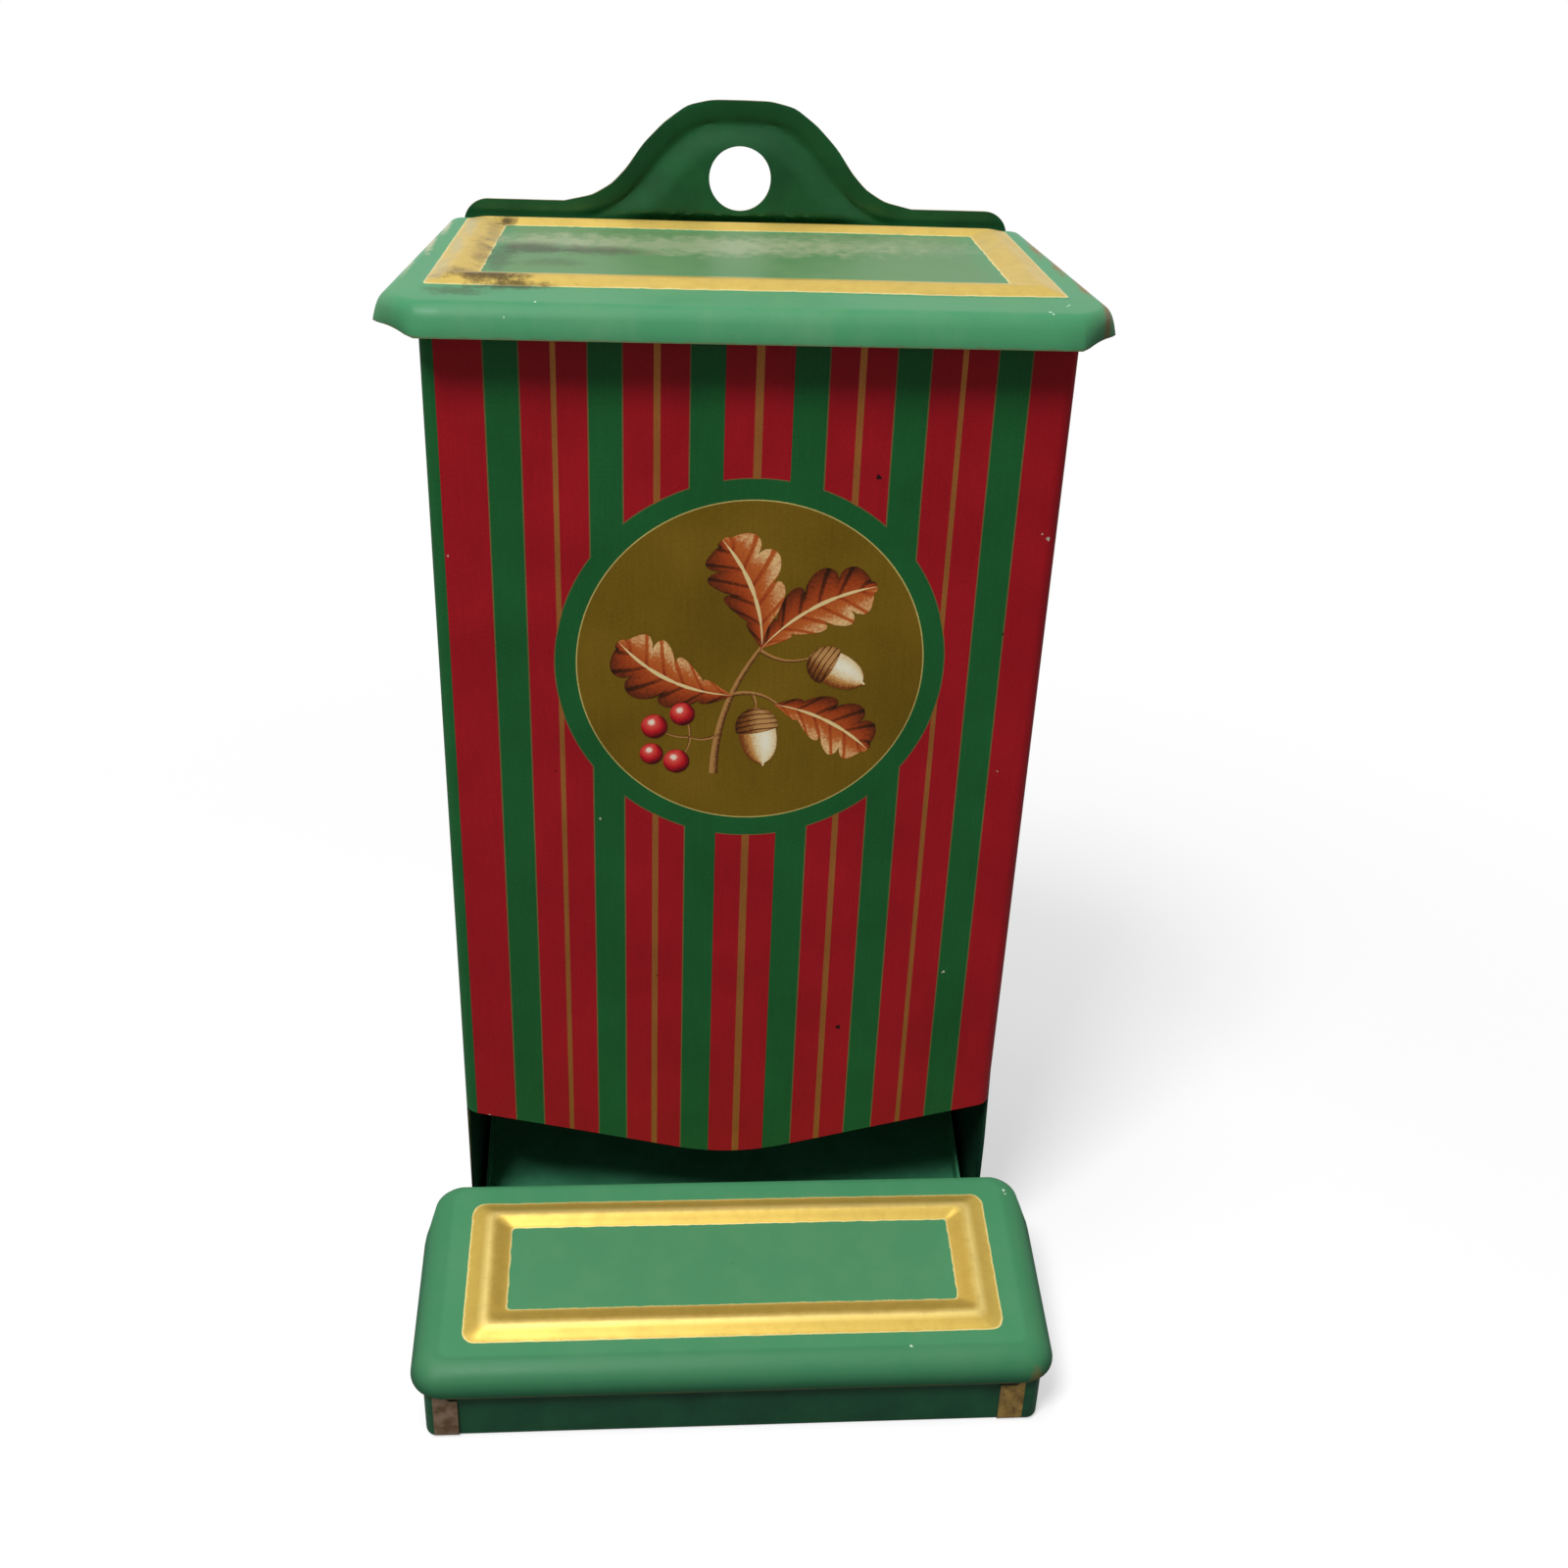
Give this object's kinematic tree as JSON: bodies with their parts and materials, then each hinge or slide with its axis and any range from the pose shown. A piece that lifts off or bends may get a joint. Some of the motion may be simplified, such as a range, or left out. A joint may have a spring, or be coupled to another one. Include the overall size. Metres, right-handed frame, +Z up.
{
  "type": "match holder",
  "caption": "Wall-hung match holder of folded printed tinplate, with a hinged top lid, a V-edged dispensing slot and a tray under a hinged lower lid.",
  "frame": {"origin": "middle of the bounding box at the base the tin stands on", "axes": "+Z up along the tin's height, +Y towards the wall that it hangs on, the printed front faces -Y"},
  "size_m": [0.0988, 0.0762, 0.1842],
  "materials": {
    "dark_green_enamel": "dark green printed enamel on tinplate, satin, worn",
    "red_stripe_print": "crimson, green and gold striped print on tinplate, varnished",
    "gold_lacquer": "transparent gold lacquer over bare tinplate",
    "green_enamel": "mid green printed enamel with a gold frame, satin, worn",
    "tinned_wire": "tinned steel wire"
  },
  "bodies": {
    "tin": {"back_plate": "dark_green_enamel", "body_shell": "red_stripe_print", "chute_ramp": "dark_green_enamel", "tray_floor": "dark_green_enamel", "tray_side_left": "gold_lacquer", "tray_side_right": "gold_lacquer"},
    "top_lid": {"top_lid": "green_enamel", "top_lid_wire": "tinned_wire"},
    "lower_lid": {"lower_lid": "green_enamel", "lower_lid_wire": "tinned_wire"}
  },
  "joints": [
    {"name": "top_lid_hinge", "type": "hinge", "parent": "tin", "child": "top_lid", "pos_m": [0, 0.03385, 0.16428], "axis": [-1, 0, 0], "range_deg": [0, 90]},
    {"name": "lower_lid_hinge", "type": "hinge", "parent": "tin", "child": "lower_lid", "pos_m": [0, -0.0053, 0.01719], "axis": [-1, 0, 0], "range_deg": [0, 100]}
  ]
}
